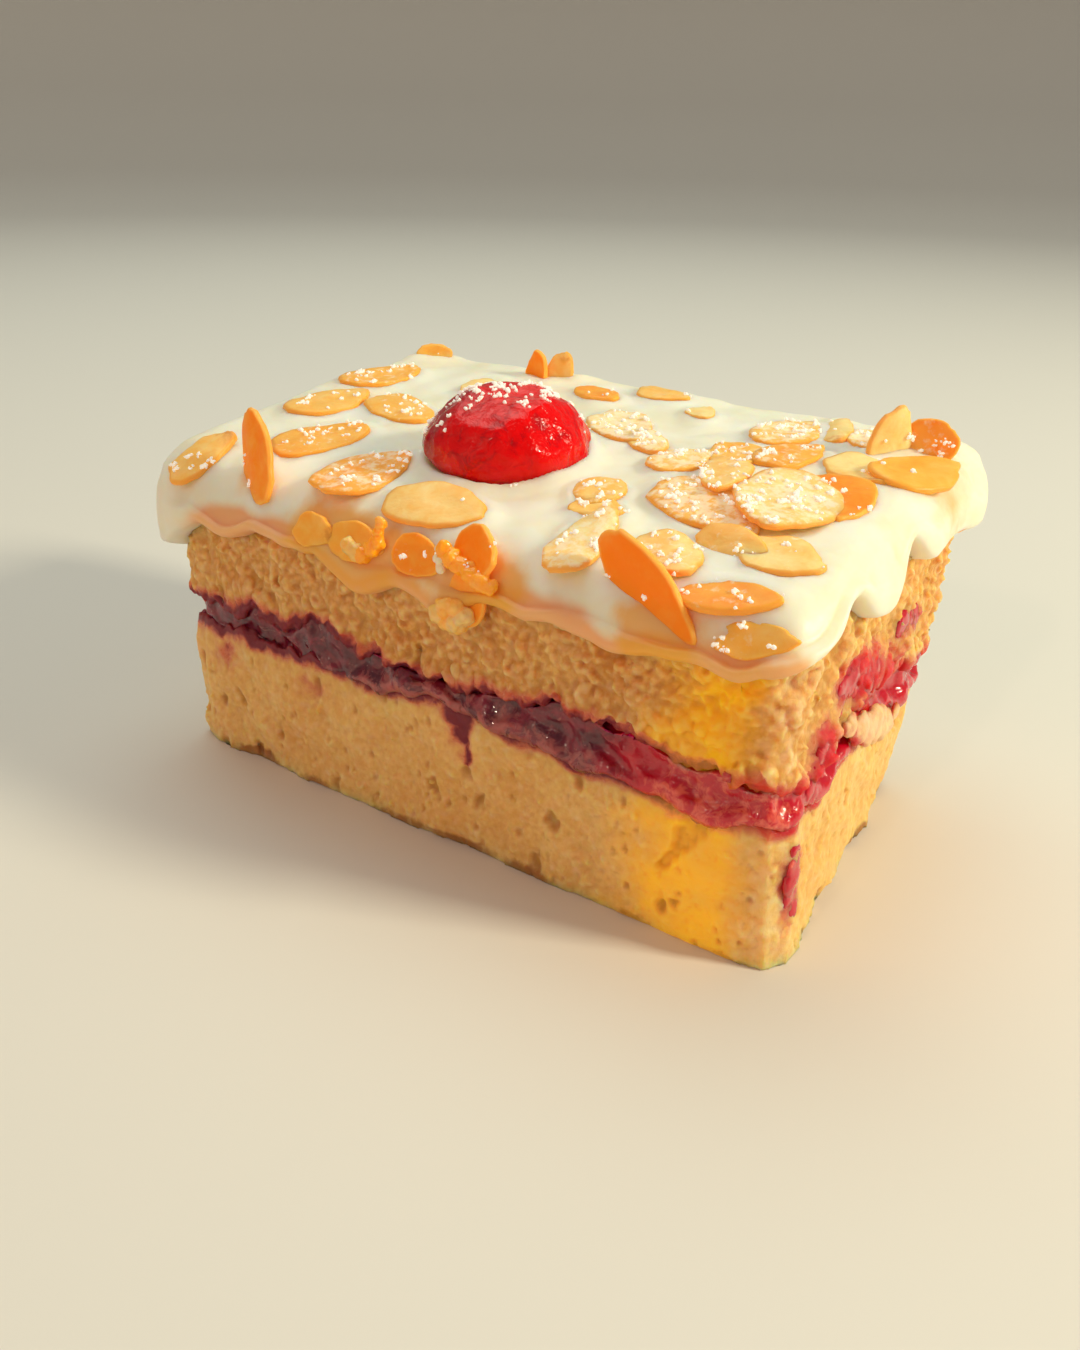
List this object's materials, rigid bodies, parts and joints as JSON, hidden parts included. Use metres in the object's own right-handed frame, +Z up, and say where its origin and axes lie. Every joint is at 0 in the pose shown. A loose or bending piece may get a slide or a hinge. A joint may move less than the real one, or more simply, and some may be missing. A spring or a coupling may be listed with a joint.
{
  "type": "school cake slice",
  "caption": "Slice of jam-filled sponge cake with soft white icing over its top and rim, flaked almonds and half a glace cherry.",
  "frame": {"origin": "middle of the slice's box in plan, on the flat underside", "axes": "+X along the slice's length, +Z up, the long cut side looks along -Y"},
  "size_m": [0.0935, 0.0591, 0.0523],
  "materials": {
    "sponge": "open golden crumb, browned along the foot",
    "jam": "wet dark red jam",
    "icing": "soft satin white icing with golden flaked almonds and fine sugar",
    "cherry": "glossy candied skin"
  },
  "bodies": {
    "root": {"sponge_bottom": "sponge", "jam_layer": "jam", "sponge_top": "sponge", "icing": "icing", "cherry_half": "cherry"}
  },
  "joints": []
}
